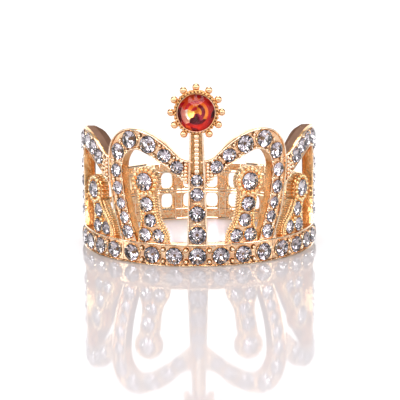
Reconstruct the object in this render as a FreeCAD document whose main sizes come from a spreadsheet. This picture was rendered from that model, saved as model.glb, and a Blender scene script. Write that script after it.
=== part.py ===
import FreeCAD, Part
import Sketcher
import math
import os
from FreeCAD import Placement, Rotation, Vector

# A small rhinestone crown: flat cast strips bent round an upright cylinder and soldered edge to edge,
# with faceted glass stones sunk in tapered seats. Millimetres, +Z up, the front faces -Y, +X is the right
# side seen from the front. Places on the wall are given as (angle, height): the angle in degrees runs from
# the front, positive to the right.

SIZES = {
    "wall_radius": 27.0,
    "wall_depth": 2.5,
    "band_height": 5.25,
    "band_front_half_angle": 39.4,
    "band_end_angle": 94.6,
    "rim_height": 0.4,
    "rim_relief": 0.3,
    "lattice_depth": 1.9,
    "lattice_height": 14.8,
    "lattice_pitch": 12.7,
    "lattice_window": 3.3,
    "lower_window_base": 3.2,
    "lower_window_top": 6.6,
    "upper_window_base": 8.1,
    "upper_window_top": 11.9,
    "window_corner": 0.8,
    "lattice_columns": 14,
    "lattice_start_angle": 85.6,
    "post_foot_width": 4.7,
    "post_head_width": 2.9,
    "post_head_height": 32.5,
    "halo_radius": 3.15,
    "crest_height": 34.9,
    "cup_radius": 4.6,
    "cup_wall": 0.45,
    "cup_depth": 2.9,
    "cup_floor": 0.6,
    "cup_lip": 0.25,
    "ball_radius": 0.85,
    "ball_circle": 5.6,
    "stem_radius": 0.38,
    "ball_positions": 12,
    "base_stone": 3.7,
    "base_stone_height": 2.46,
    "base_stones_round": 32,
    "lattice_stone": 2.3,
}

# Each strip is a row of crossings:
# (outer-edge angle, outer-edge height, inner-edge angle, inner-edge height).
FRONT_LOOP = [
    (2.0, 24.0, 2.0, 17.8),
    (8.0, 24.7, 8.6, 20.5),
    (13.5, 27.0, 15.8, 23.0),
    (20.5, 29.2, 23.0, 24.9),
    (28.0, 30.5, 28.5, 26.0),
    (35.5, 30.7, 33.6, 25.8),
    (42.5, 29.3, 37.3, 24.2),
    (47.3, 26.2, 39.0, 22.0),
    (48.5, 21.7, 38.9, 19.4),
    (47.2, 16.6, 37.8, 15.9),
    (45.0, 12.4, 36.0, 12.3),
    (42.2, 8.7, 33.4, 8.7),
    (39.4, 5.25, 30.8, 5.25),
]
SIDE_LOOP = [
    (46.0, 23.2, 46.0, 16.2),
    (53.0, 24.7, 53.5, 19.6),
    (58.5, 26.4, 61.0, 21.8),
    (64.5, 27.8, 67.5, 23.3),
    (72.0, 28.5, 73.5, 23.9),
    (80.5, 28.4, 79.0, 23.6),
    (88.0, 26.9, 83.5, 22.3),
    (93.5, 23.8, 85.3, 20.2),
    (94.8, 19.6, 85.7, 17.5),
    (93.6, 14.9, 84.9, 14.2),
    (91.5, 10.9, 83.2, 10.9),
    (89.0, 7.8, 80.8, 7.8),
    (86.5, 5.25, 78.2, 5.25),
]
REAR_ARM = [
    (83.5, 27.2, 83.5, 23.6),
    (97.0, 27.5, 96.5, 22.9),
    (106.0, 26.4, 104.0, 21.9),
    (114.0, 24.9, 110.0, 20.6),
    (121.0, 22.0, 115.0, 18.8),
    (127.0, 18.6, 119.0, 16.9),
    (133.5, 14.8, 123.5, 14.8),
]
FRONT_TOWER = [
    (14.4, 5.25, 30.2, 5.25),
    (15.3, 7.4, 29.8, 7.4),
    (18.4, 9.8, 28.4, 9.8),
    (19.9, 12.4, 28.8, 12.4),
    (20.9, 16.8, 30.6, 16.8),
]
SIDE_TOWER = [
    (46.0, 5.25, 63.4, 5.25),
    (46.9, 7.4, 63.2, 7.4),
    (50.6, 9.6, 62.2, 9.6),
    (53.6, 11.4, 62.9, 11.4),
    (56.4, 13.6, 66.0, 13.6),
]
FRONT_HALO = (26.1, 19.0)
SIDE_HALO = (62.2, 15.2)

# Stones: (angle, height, diameter).
POST_STONES = [(0.0, 7.3, 3.8), (0.0, 12.2, 3.4), (0.0, 16.6, 2.85), (0.0, 19.8, 2.6)]
FRONT_LOOP_STONES = [
    (9.4, 22.7, 2.8), (15.6, 25.2, 3.0), (23.8, 27.5, 3.8), (34.1, 28.3, 3.8), (41.4, 25.3, 3.6),
    (42.7, 20.9, 3.0), (41.8, 17.0, 2.9), (39.8, 13.5, 2.5), (37.8, 10.4, 2.6), (35.8, 7.15, 3.0),
]
SIDE_LOOP_STONES = [
    (56.2, 23.2, 3.4), (62.0, 25.0, 3.4), (68.6, 26.1, 3.5), (78.4, 26.1, 3.6), (87.0, 23.9, 3.4),
    (89.6, 19.0, 3.0), (88.9, 15.1, 2.8), (87.0, 11.7, 2.6), (84.9, 8.4, 2.9),
]
REAR_ARM_STONES = [
    (97.6, 25.2, 3.3), (105.9, 24.0, 3.3), (113.4, 21.9, 3.1), (119.6, 19.0, 2.9), (124.6, 16.4, 2.3),
]
FRONT_TOWER_STONES = [
    (26.1, 19.0, 3.9), (25.1, 13.9, 3.2), (23.2, 10.3, 2.9), (26.1, 6.9, 3.0), (18.8, 6.9, 3.0),
]
SIDE_TOWER_STONES = [(62.2, 15.2, 3.9), (57.4, 10.7, 3.2), (58.7, 7.0, 3.0), (50.9, 7.0, 3.0)]

# Stone proportions, as parts of the stone's diameter.
TABLE_RADIUS = 0.29
CROWN_HEIGHT = 0.17
GIRDLE_LIFT = 0.04
GIRDLE_THICKNESS = 0.03
PAVILION_DEPTH = 0.36
CULET_RADIUS = 0.07
STONE_SIDES = 12

# The crest's pointed crystal.
CRYSTAL_SIDES = 16
CRYSTAL_POINT = 0.25
CRYSTAL_EDGE = 0.12
CRYSTAL_RISE = 1.2
CRYSTAL_BREAK = 0.55
CRYSTAL_BREAK_RISE = 0.62
FIT = 0.03

SIDES = {"right": 1, "left": -1}
SPARE = 1.0

doc = FreeCAD.newDocument("crown")
sheet = doc.addObject("Spreadsheet::Sheet", "sizes")
for row, (alias, value) in enumerate(SIZES.items(), 1):
    sheet.set(f"A{row}", alias)
    sheet.set(f"B{row}", str(value))
    sheet.setAlias(f"B{row}", alias)
doc.recompute()

nodes = {}


def size(name):
    return float(sheet.get(name))


def named(label, obj):
    obj.Label = label
    nodes[label] = obj
    return obj


def fixed(label, shape):
    feature = doc.addObject("Part::Feature", label)
    feature.Shape = shape
    return named(label, feature)


def helper(name, shape):
    feature = doc.addObject("Part::Feature", name)
    feature.Shape = shape
    return feature


def trimmed(label, base, *tools):
    """What is left of one object once the others are taken away from it."""
    for k, tool in enumerate(tools, 1):
        cut = doc.addObject("Part::Cut", f"{label}_trim_{k}")
        cut.Base = base
        cut.Tool = tool
        base = cut
    return named(label, base)


def on_wall(angle, height, radius):
    turn = math.radians(angle)
    return Vector(radius * math.sin(turn), -radius * math.cos(turn), height)


def outward(angle, height, radius):
    """Placement whose own Z points straight out of the wall at that place."""
    turn = Rotation(Vector(0, 0, 1), angle) * Rotation(Vector(1, 0, 0), 90)
    return Placement(on_wall(angle, height, radius), turn)


# Flat strips bent round the wall ------------------------------------------------------------------


def crossing(outer_angle, outer_height, inner_angle, inner_height, side):
    """Four-cornered section of a strip, standing proud of the wall on both faces."""
    outside = size("wall_radius") + SPARE
    inside = size("wall_radius") - size("wall_depth") - SPARE
    corners = [
        on_wall(side * outer_angle, outer_height, outside),
        on_wall(side * inner_angle, inner_height, outside),
        on_wall(side * inner_angle, inner_height, inside),
        on_wall(side * outer_angle, outer_height, inside),
    ]
    return Part.makePolygon(corners + corners[:1])


def thick_strip(crossings, side):
    """Strip with smooth edges whose faces are still SPARE proud of the wall."""
    return Part.makeLoft([crossing(*place, side) for place in crossings], True, False)


def thick_disc(place, side):
    angle, height = place
    deep = size("wall_depth") + 2 * SPARE
    disc = Part.makeCylinder(size("halo_radius"), deep)
    disc.Placement = outward(side * angle, height, size("wall_radius") + SPARE - deep)
    return disc


def within_wall(shape):
    """The part of a shape that lies between the wall's two round faces."""
    tall = size("crest_height")
    ring = Part.makeCylinder(size("wall_radius"), tall)
    ring = ring.cut(Part.makeCylinder(size("wall_radius") - size("wall_depth"), tall))
    return shape.common(ring)


# Stones and their seats ---------------------------------------------------------------------------


def polygon_ring(radius, height, sides=STONE_SIDES):
    turns = [2 * math.pi * k / sides for k in range(sides)]
    return [Vector(radius * math.cos(turn), radius * math.sin(turn), height) for turn in turns]


def faceted(rings):
    """Solid with flat facets between rings of the same number of corners, closed by two flat ends."""
    faces = [Part.Face(Part.makePolygon(ring + ring[:1])) for ring in (rings[0], rings[-1])]
    for low, high in zip(rings, rings[1:]):
        for k in range(len(low)):
            after = (k + 1) % len(low)
            faces.append(Part.Face(Part.makePolygon([low[k], low[after], high[after], high[k], low[k]])))
    return Part.makeSolid(Part.makeShell(faces))


def stone(diameter):
    girdle = GIRDLE_LIFT * diameter
    return faceted([
        polygon_ring(CULET_RADIUS * diameter, -PAVILION_DEPTH * diameter),
        polygon_ring(diameter / 2, girdle),
        polygon_ring(diameter / 2, girdle + GIRDLE_THICKNESS * diameter),
        polygon_ring(TABLE_RADIUS * diameter, girdle + CROWN_HEIGHT * diameter),
    ])


def seat(diameter):
    """Tapered hole that the stone's lower half rests in."""
    girdle = GIRDLE_LIFT * diameter
    taper = Part.makeCone(CULET_RADIUS * diameter, diameter / 2, PAVILION_DEPTH * diameter + girdle)
    taper.translate(Vector(0, 0, -PAVILION_DEPTH * diameter))
    mouth = Part.makeCylinder(diameter / 2, size("rim_relief") + CROWN_HEIGHT * diameter)
    mouth.translate(Vector(0, 0, girdle))
    return taper.fuse(mouth)


def placed(maker, places, side, lift=0.0):
    solids = []
    for angle, height, diameter in places:
        solid = maker(diameter)
        solid.Placement = outward(side * angle, height, size("wall_radius") + lift)
        solids.append(solid)
    return Part.makeCompound(solids)


def stones(label, places, side=1, lift=0.0):
    return fixed(label, placed(stone, places, side, lift))


# Base band ----------------------------------------------------------------------------------------


def origin_feature(body, role):
    return next(feature for feature in body.Origin.OriginFeatures if feature.Role == role)


def sketch_on(body, role, name):
    sketch = body.newObject("Sketcher::SketchObject", name)
    sketch.AttachmentSupport = [(origin_feature(body, role), "")]
    sketch.MapMode = "FlatFace"
    return sketch


def closed_outline(sketch, corners):
    """Straight-sided outline whose corners are tied to the sheet; each corner is (x formula, y formula)."""
    count = len(corners)
    first = sketch.GeometryCount
    turns = [2 * math.pi * k / count for k in range(count)]
    rough = [Vector(10 + 5 * math.cos(turn), 10 + 5 * math.sin(turn), 0) for turn in turns]
    for k in range(count):
        sketch.addGeometry(Part.LineSegment(rough[k], rough[(k + 1) % count]), False)
    for k in range(count):
        after = first + (k + 1) % count
        sketch.addConstraint(Sketcher.Constraint("Coincident", first + k, 2, after, 1))
    for k, (across, up) in enumerate(corners):
        rule = sketch.addConstraint(Sketcher.Constraint("DistanceX", -1, 1, first + k, 1, rough[k].x))
        sketch.setExpression(f"Constraints[{rule}]", across)
        rule = sketch.addConstraint(Sketcher.Constraint("DistanceY", -1, 1, first + k, 1, rough[k].y))
        sketch.setExpression(f"Constraints[{rule}]", up)


def turned(body, formula):
    """Turn a body about the upright axis by a formula in degrees."""
    body.Placement = Placement(Vector(0, 0, 0), Rotation(Vector(0, 0, 1), 1))
    body.setExpression("Placement.Rotation.Angle", formula)


def revolved(name, corners, angle):
    """Body made by turning an outline about the upright axis, evenly to both sides of +X."""
    body = doc.addObject("PartDesign::Body", name)
    sketch = sketch_on(body, "XZ_Plane", f"{name}_outline")
    closed_outline(sketch, corners)
    ring = body.newObject("PartDesign::Revolution", f"{name}_ring")
    ring.Profile = sketch
    ring.ReferenceAxis = (sketch, ["V_Axis"])
    ring.Midplane = True
    ring.setExpression("Angle", angle)
    body.Tip = ring
    return body


BAND_OUTLINE = [
    ("sizes.wall_radius - sizes.wall_depth", "0"),
    ("sizes.wall_radius + sizes.rim_relief", "0"),
    ("sizes.wall_radius + sizes.rim_relief", "sizes.rim_height"),
    ("sizes.wall_radius", "sizes.rim_height"),
    ("sizes.wall_radius", "sizes.band_height - sizes.rim_height"),
    ("sizes.wall_radius + sizes.rim_relief", "sizes.band_height - sizes.rim_height"),
    ("sizes.wall_radius + sizes.rim_relief", "sizes.band_height"),
    ("sizes.wall_radius - sizes.wall_depth", "sizes.band_height"),
]
FRONT_BAND_SWEEP = "2 * sizes.band_front_half_angle"
SIDE_BAND_SWEEP = "sizes.band_end_angle - sizes.band_front_half_angle"
SIDE_BAND_MIDDLE = "(sizes.band_end_angle + sizes.band_front_half_angle) / 2"


def band_stone_places(first, last):
    pitch = 360 / size("base_stones_round")
    return [(k * pitch, size("base_stone_height"), size("base_stone")) for k in range(first, last + 1)]


def base_bands():
    front = revolved("front_band_blank", BAND_OUTLINE, FRONT_BAND_SWEEP)
    turned(front, "-90")
    row = band_stone_places(-3, 3)
    trimmed("front_base_band", front, helper("front_band_seats", placed(seat, row, 1)))
    stones("front_base_stones", row)
    for name, side in SIDES.items():
        band = revolved(f"{name}_band_blank", BAND_OUTLINE, SIDE_BAND_SWEEP)
        turned(band, f"{side} * {SIDE_BAND_MIDDLE} - 90")
        row = band_stone_places(4, 8)
        trimmed(f"{name}_base_band", band, helper(f"{name}_band_seats", placed(seat, row, side)))
        stones(f"{name}_base_stones", row, side)


# Centre post and crest ----------------------------------------------------------------------------


def centre_post():
    body = doc.addObject("PartDesign::Body", "post_blank")
    sketch = sketch_on(body, "XZ_Plane", "post_outline")
    closed_outline(sketch, [
        ("-sizes.post_foot_width / 2", "sizes.band_height"),
        ("sizes.post_foot_width / 2", "sizes.band_height"),
        ("sizes.post_head_width / 2", "sizes.post_head_height"),
        ("-sizes.post_head_width / 2", "sizes.post_head_height"),
    ])
    pad = body.newObject("PartDesign::Pad", "post_pad")
    pad.Profile = sketch
    pad.setExpression("Length", "sizes.wall_depth + sizes.rim_relief")
    body.Tip = pad
    body.setExpression("Placement.Base.y", "-(sizes.wall_radius - sizes.wall_depth)")
    cup_room = doc.addObject("Part::Cylinder", "cup_room")
    cup_room.Placement = crest_place()
    cup_room.setExpression("Radius", "sizes.cup_radius")
    cup_room.setExpression("Height", "sizes.cup_depth")
    lift = size("rim_relief")
    seats = helper("post_seats", placed(seat, POST_STONES, 1, lift))
    trimmed("centre_post", body, cup_room, seats)
    stones("centre_post_stones", POST_STONES, 1, lift)
    return nodes["centre_post"]


def crest_place():
    """Origin of the crest: its back plane, with its own Z pointing to the front."""
    back = size("wall_radius") - size("wall_depth")
    return outward(0, size("crest_height"), back)


def crest_cup():
    body = doc.addObject("PartDesign::Body", "crest_cup")
    sketch = sketch_on(body, "XZ_Plane", "cup_outline")
    inner = "sizes.cup_radius - sizes.cup_wall"
    lip_base = "sizes.cup_depth - sizes.cup_lip"
    closed_outline(sketch, [
        ("0", "0"),
        ("sizes.cup_radius", "0"),
        ("sizes.cup_radius", "sizes.cup_depth"),
        (f"{inner} - sizes.cup_lip", "sizes.cup_depth"),
        (f"{inner} - sizes.cup_lip", lip_base),
        (inner, lip_base),
        (inner, "sizes.cup_floor"),
        ("0", "sizes.cup_floor"),
    ])
    shell = body.newObject("PartDesign::Revolution", "cup_shell")
    shell.Profile = sketch
    shell.ReferenceAxis = (sketch, ["V_Axis"])
    shell.Angle = 360
    body.Tip = shell
    body.Placement = crest_place()
    named("crest_cup", body)


def crest_crystal():
    """Pointed cushion of facets, held by its widest edge under the lip of the cup."""
    girdle = size("cup_radius") - size("cup_wall") - FIT
    seat_height = size("cup_depth") - size("cup_lip") - 2 * FIT
    shape = faceted([
        polygon_ring(CRYSTAL_POINT, size("cup_floor"), CRYSTAL_SIDES),
        polygon_ring(girdle, seat_height - CRYSTAL_EDGE, CRYSTAL_SIDES),
        polygon_ring(girdle, seat_height, CRYSTAL_SIDES),
        polygon_ring(girdle * CRYSTAL_BREAK, seat_height + CRYSTAL_RISE * CRYSTAL_BREAK_RISE, CRYSTAL_SIDES),
        polygon_ring(CRYSTAL_POINT, seat_height + CRYSTAL_RISE, CRYSTAL_SIDES),
    ])
    shape.Placement = crest_place()
    fixed("crest_crystal", shape)


def crest_beads():
    """Balls on short stems round the cup; the place at the bottom is taken by the post."""
    cup_room = doc.getObject("cup_room")
    pins = []
    for k in range(1, int(size("ball_positions"))):
        spoke = Rotation(Vector(0, 0, 1), 360 * k / size("ball_positions") - 90)
        turn = crest_place() * Placement(Vector(0, 0, size("cup_depth") / 2), spoke)
        ball = doc.addObject("Part::Sphere", f"ball_{k}")
        ball.setExpression("Radius", "sizes.ball_radius")
        ball.Placement = turn * Placement(Vector(size("ball_circle"), 0, 0), Rotation())
        stem = doc.addObject("Part::Cylinder", f"stem_{k}")
        stem.setExpression("Radius", "sizes.stem_radius")
        stem.setExpression("Height", "sizes.ball_circle - sizes.cup_radius + sizes.cup_wall")
        stem_start = size("cup_radius") - size("cup_wall")
        stem.Placement = turn * Placement(Vector(stem_start, 0, 0), Rotation(Vector(0, 1, 0), 90))
        pin = doc.addObject("Part::Fuse", f"pin_{k}")
        pin.Base = ball
        pin.Tool = stem
        fitted = doc.addObject("Part::Cut", f"fitted_pin_{k}")
        fitted.Base = pin
        fitted.Tool = cup_room
        pins.append(fitted)
    group = doc.addObject("Part::Compound", "crest_beads")
    group.Links = pins
    named("crest_beads", group)


# Rear lattice -------------------------------------------------------------------------------------


def window_corners(base, top):
    """Square window with its corners cut off, centred on the sketch's upright axis."""
    half = "sizes.lattice_window / 2"
    corner = "sizes.window_corner"
    return [
        (f"-{half} + {corner}", base),
        (f"{half} - {corner}", base),
        (half, f"{base} + {corner}"),
        (half, f"{top} - {corner}"),
        (f"{half} - {corner}", top),
        (f"-{half} + {corner}", top),
        (f"-{half}", f"{top} - {corner}"),
        (f"-{half}", f"{base} + {corner}"),
    ]


def lattice_stone_places():
    reach = int(size("lattice_columns")) // 2 - 1
    rows = [
        size("lower_window_base") / 2,
        (size("lower_window_top") + size("upper_window_base")) / 2,
        (size("upper_window_top") + size("lattice_height")) / 2,
    ]
    columns = [180 + k * size("lattice_pitch") for k in range(-reach, reach + 1)]
    return [(angle, height, size("lattice_stone")) for angle in columns for height in rows]


def lattice_blank():
    body = revolved("lattice_blank", [
        ("sizes.wall_radius - sizes.lattice_depth", "0"),
        ("sizes.wall_radius", "0"),
        ("sizes.wall_radius", "sizes.lattice_height"),
        ("sizes.wall_radius - sizes.lattice_depth", "sizes.lattice_height"),
    ], "360 - 2 * sizes.lattice_start_angle")
    turned(body, "90")
    doc.recompute()
    sketch = sketch_on(body, "YZ_Plane", "window_outline")
    first = -size("lattice_pitch") * (size("lattice_columns") - 1) / 2
    sketch.AttachmentOffset = Placement(Vector(0, 0, 0), Rotation(Vector(0, 1, 0), first))
    closed_outline(sketch, window_corners("sizes.lower_window_base", "sizes.lower_window_top"))
    closed_outline(sketch, window_corners("sizes.upper_window_base", "sizes.upper_window_top"))
    pocket = body.newObject("PartDesign::Pocket", "window_pocket")
    pocket.Profile = sketch
    pocket.Reversed = True
    pocket.setExpression("Length", "sizes.wall_radius + sizes.wall_depth")
    pattern = body.newObject("PartDesign::PolarPattern", "window_pattern")
    pattern.Originals = [pocket]
    pattern.Axis = (origin_feature(body, "Z_Axis"), [""])
    pattern.setExpression("Angle", "sizes.lattice_pitch * (sizes.lattice_columns - 1)")
    pattern.setExpression("Occurrences", "sizes.lattice_columns")
    body.Tip = pattern
    return body


def rear_lattice(blank, *neighbours):
    row = lattice_stone_places()
    trimmed("rear_lattice_band", blank, *neighbours, helper("lattice_seats", placed(seat, row, 1)))
    stones("rear_lattice_stones", row)


# Loops, arms and towers ---------------------------------------------------------------------------


def wall_piece(label, thick, places, side, *neighbours):
    """Cast piece in the wall, cut back where its neighbours are, with its stones."""
    blank = helper(f"{label}_blank", within_wall(thick))
    seats = helper(f"{label}_seats", placed(seat, places, side))
    trimmed(label, blank, *neighbours, seats)
    stones(f"{label}_stones", places, side)


def side_pieces(name, side, post):
    """All the upright pieces of one side; gives back what the rear lattice has to stop at."""
    front = thick_strip(FRONT_LOOP, side)
    beside = thick_strip(SIDE_LOOP, side)
    front_room = helper(f"{name}_front_loop_room", front)
    side_room = helper(f"{name}_side_loop_room", beside)
    wall_piece(f"{name}_front_loop", front, FRONT_LOOP_STONES, side, post)
    wall_piece(f"{name}_side_loop", beside, SIDE_LOOP_STONES, side, front_room)
    wall_piece(f"{name}_rear_arm", thick_strip(REAR_ARM, side), REAR_ARM_STONES, side, side_room)
    front_tower = thick_strip(FRONT_TOWER, side).fuse(thick_disc(FRONT_HALO, side))
    wall_piece(f"{name}_front_tower", front_tower, FRONT_TOWER_STONES, side)
    side_tower = thick_strip(SIDE_TOWER, side).fuse(thick_disc(SIDE_HALO, side))
    wall_piece(f"{name}_side_tower", side_tower, SIDE_TOWER_STONES, side)
    return side_room, doc.getObject(f"{name}_band_blank")


blank = lattice_blank()
post = centre_post()
crest_cup()
crest_crystal()
crest_beads()
base_bands()
stops = [stop for name, side in SIDES.items() for stop in side_pieces(name, side, post)]
rear_lattice(blank, *stops)
doc.recompute()

for obj in doc.Objects:
    if "Invalid" in obj.State or "Error" in obj.State:
        raise SystemExit(f"{obj.Name} failed: {obj.State}")
for label, obj in nodes.items():
    if obj.Shape.isNull() or not obj.Shape.isValid():
        raise SystemExit(f"{label} has no sound shape")

os.makedirs("parts", exist_ok=True)
for label, obj in nodes.items():
    obj.Shape.exportStep(f"parts/{label}.step")
    print(f"{label}: {len(obj.Shape.Solids)} solids, {obj.Shape.Volume:.1f} mm3")
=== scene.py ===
import math
import bmesh
import bpy
import numpy as np
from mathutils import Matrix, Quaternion, Vector


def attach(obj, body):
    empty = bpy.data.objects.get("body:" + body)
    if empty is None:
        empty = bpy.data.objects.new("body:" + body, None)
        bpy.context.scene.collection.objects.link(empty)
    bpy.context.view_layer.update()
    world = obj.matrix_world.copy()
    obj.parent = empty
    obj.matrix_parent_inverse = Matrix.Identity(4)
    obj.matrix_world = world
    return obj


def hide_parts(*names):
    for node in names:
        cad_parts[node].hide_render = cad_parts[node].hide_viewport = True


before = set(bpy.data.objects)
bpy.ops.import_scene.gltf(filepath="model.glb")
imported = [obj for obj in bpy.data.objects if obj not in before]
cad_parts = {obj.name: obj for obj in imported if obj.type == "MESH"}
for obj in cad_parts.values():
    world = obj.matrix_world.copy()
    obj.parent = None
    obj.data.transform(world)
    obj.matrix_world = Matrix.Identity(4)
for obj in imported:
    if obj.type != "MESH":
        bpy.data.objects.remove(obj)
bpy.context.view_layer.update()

# A small rhinestone crown. Every length below is in millimetres until a mesh is made, up to the stage,
# which is in metres. A place on the wall is given as (angle, height): the angle in degrees runs from
# the front (-Y), positive to the right (+X).
MM = 0.001
WALL = 27.0
BACK = 24.5
BAND_HEIGHT = 5.25
SIDES = {"right": 1, "left": -1}

# Rows of crossings of each strip:
# (outer-edge angle, outer-edge height, inner-edge angle, inner-edge height).
FRONT_LOOP = [
    (2.0, 24.0, 2.0, 17.8), (8.0, 24.7, 8.6, 20.5), (13.5, 27.0, 15.8, 23.0),
    (20.5, 29.2, 23.0, 24.9), (28.0, 30.5, 28.5, 26.0), (35.5, 30.7, 33.6, 25.8),
    (42.5, 29.3, 37.3, 24.2), (47.3, 26.2, 39.0, 22.0), (48.5, 21.7, 38.9, 19.4),
    (47.2, 16.6, 37.8, 15.9), (45.0, 12.4, 36.0, 12.3), (42.2, 8.7, 33.4, 8.7),
    (39.4, 5.25, 30.8, 5.25),
]
SIDE_LOOP = [
    (46.0, 23.2, 46.0, 16.2), (53.0, 24.7, 53.5, 19.6), (58.5, 26.4, 61.0, 21.8),
    (64.5, 27.8, 67.5, 23.3), (72.0, 28.5, 73.5, 23.9), (80.5, 28.4, 79.0, 23.6),
    (88.0, 26.9, 83.5, 22.3), (93.5, 23.8, 85.3, 20.2), (94.8, 19.6, 85.7, 17.5),
    (93.6, 14.9, 84.9, 14.2), (91.5, 10.9, 83.2, 10.9), (89.0, 7.8, 80.8, 7.8),
    (86.5, 5.25, 78.2, 5.25),
]
REAR_ARM = [
    (83.5, 27.2, 83.5, 23.6), (97.0, 27.5, 96.5, 22.9), (106.0, 26.4, 104.0, 21.9),
    (114.0, 24.9, 110.0, 20.6), (121.0, 22.0, 115.0, 18.8), (127.0, 18.6, 119.0, 16.9),
    (133.5, 14.8, 123.5, 14.8),
]
FRONT_TOWER = [
    (14.4, 5.25, 30.2, 5.25), (15.3, 7.4, 29.8, 7.4), (18.4, 9.8, 28.4, 9.8), (19.9, 12.4, 28.8, 12.4),
    (20.9, 16.8, 30.6, 16.8),
]
SIDE_TOWER = [
    (46.0, 5.25, 63.4, 5.25), (46.9, 7.4, 63.2, 7.4), (50.6, 9.6, 62.2, 9.6), (53.6, 11.4, 62.9, 11.4),
    (56.4, 13.6, 66.0, 13.6),
]
HALO_RADIUS = 3.15

# Stones: (angle, height, diameter).
POST_STONES = [(0.0, 7.3, 3.8), (0.0, 12.2, 3.4), (0.0, 16.6, 2.85), (0.0, 19.8, 2.6)]
FRONT_LOOP_STONES = [
    (9.4, 22.7, 2.8), (15.6, 25.2, 3.0), (23.8, 27.5, 3.8), (34.1, 28.3, 3.8), (41.4, 25.3, 3.6),
    (42.7, 20.9, 3.0), (41.8, 17.0, 2.9), (39.8, 13.5, 2.5), (37.8, 10.4, 2.6), (35.8, 7.15, 3.0),
]
SIDE_LOOP_STONES = [
    (56.2, 23.2, 3.4), (62.0, 25.0, 3.4), (68.6, 26.1, 3.5), (78.4, 26.1, 3.6), (87.0, 23.9, 3.4),
    (89.6, 19.0, 3.0), (88.9, 15.1, 2.8), (87.0, 11.7, 2.6), (84.9, 8.4, 2.9),
]
REAR_ARM_STONES = [
    (97.6, 25.2, 3.3), (105.9, 24.0, 3.3), (113.4, 21.9, 3.1), (119.6, 19.0, 2.9), (124.6, 16.4, 2.3),
]
FRONT_TOWER_STONES = [
    (26.1, 19.0, 3.9), (25.1, 13.9, 3.2), (23.2, 10.3, 2.9), (26.1, 6.9, 3.0), (18.8, 6.9, 3.0),
]
SIDE_TOWER_STONES = [(62.2, 15.2, 3.9), (57.4, 10.7, 3.2), (58.7, 7.0, 3.0), (50.9, 7.0, 3.0)]
BASE_PITCH = 11.25
BASE_STONE = 3.7
BASE_STONE_HEIGHT = 2.46
BAND_SEAM = 39.4
BAND_END = 94.6

LATTICE_BACK = 25.1
LATTICE_PITCH = 12.7
LATTICE_COLUMNS = 14
LATTICE_STONE = 2.3
LATTICE_STONE_HEIGHTS = (1.6, 7.35, 13.35)
LATTICE_HEIGHT = 14.8
WINDOW_WIDTH = 3.0
# Rows of windows: (bottom of the cell, bottom of the window, top of the window, top of the cell).
LATTICE_ROWS = [(0.0, 3.2, 6.6, 7.35), (7.35, 8.1, 11.9, LATTICE_HEIGHT)]

CREST_HEIGHT = 34.9
CUP_RADIUS = 4.6
CUP_DEPTH = 2.9
CRYSTAL_RADIUS = 4.1
BALL_RADIUS = 0.85
BALL_CIRCLE = 5.6

# Material numbers of a casting's faces, of a clear stone's foiled facets and of the crystal's.
PLAIN, REAR, RAISED, SUNK, FLANK = range(5)
# The grey and dark foils paint dark reflections into the stones' facets.
SILVER, GREY_REFLECTION, DARK_REFLECTION = range(1, 4)
# Of the crystal's foils, cream and amber paint a highlight and wine paints shade.
RED, ORANGE, AMBER_HIGHLIGHT, CREAM_HIGHLIGHT, WINE_SHADE = range(1, 6)
GLASS = 0

rng = np.random.default_rng(7)


# Meshes --------

def new_object(name, data):
    """Object that is in the scene."""
    obj = bpy.data.objects.new(name, data)
    bpy.context.scene.collection.objects.link(obj)
    return obj


class Shell:
    """Points and faces of one piece, in millimetres, with a material number for each face."""

    def __init__(self):
        self.points = []
        self.faces = []
        self.kinds = []
        self.count = 0

    def add(self, points, faces, kind=PLAIN):
        points = np.asarray(points, float).reshape(-1, 3)
        self.points.append(points)
        self.faces += (np.asarray(faces) + self.count).tolist()
        self.kinds += np.broadcast_to(kind, len(faces)).tolist()
        self.count += len(points)

    def add_polygon(self, corners, kind=PLAIN):
        """One more face over points that are already there."""
        self.faces.append([int(c) for c in corners])
        self.kinds.append(kind)

    def piece(self, name, nodes, materials, smooth_angle=40.0):
        """The finished object in place of the named CAD nodes; an angle of 0 leaves it faceted."""
        mesh = bpy.data.meshes.new(name)
        mesh.from_pydata(np.vstack(self.points) * MM, [], self.faces)
        mesh.polygons.foreach_set("material_index", self.kinds)
        for material in materials:
            mesh.materials.append(material)
        if smooth_angle:
            mesh.polygons.foreach_set("use_smooth", [True] * len(self.faces))
            mesh.set_sharp_from_angle(angle=math.radians(smooth_angle))
        mesh.update()
        obj = new_object(name, mesh)
        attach(obj, "root")
        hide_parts(*nodes)
        return obj


# An angle in degrees and a height, times this, are lengths on the unrolled wall.
UNROLL = np.array([math.radians(WALL), 1.0])


def grid_faces(rows, columns, around=False):
    """Four-sided faces of a grid of points; around joins the last column to the first."""
    wide = columns if around else columns - 1
    i, j = np.meshgrid(np.arange(rows - 1), np.arange(wide), indexing="ij")
    after = (j + 1) % columns
    corners = [i * columns + j, i * columns + after, (i + 1) * columns + after, (i + 1) * columns + j]
    return np.stack(corners, -1).reshape(-1, 4)


def on_wall(angle, height, radius):
    """Points at angles, heights and distances from the crown's axis."""
    turn = np.radians(angle)
    height = height + np.zeros_like(turn * radius)
    return np.stack([radius * np.sin(turn), -radius * np.cos(turn), height], -1)


def outward(angle, height, radius):
    """Origin and axes (across, up, out) of a place on the wall."""
    turn = math.radians(angle)
    across = np.array([math.cos(turn), math.sin(turn), 0.0])
    out = np.array([math.sin(turn), -math.cos(turn), 0.0])
    return on_wall(angle, height, radius), np.array([across, [0.0, 0.0, 1.0], out])


def to_world(points, place):
    """Points given across, up and out of a place."""
    origin, axes = place
    return np.asarray(points) @ axes + origin


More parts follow.
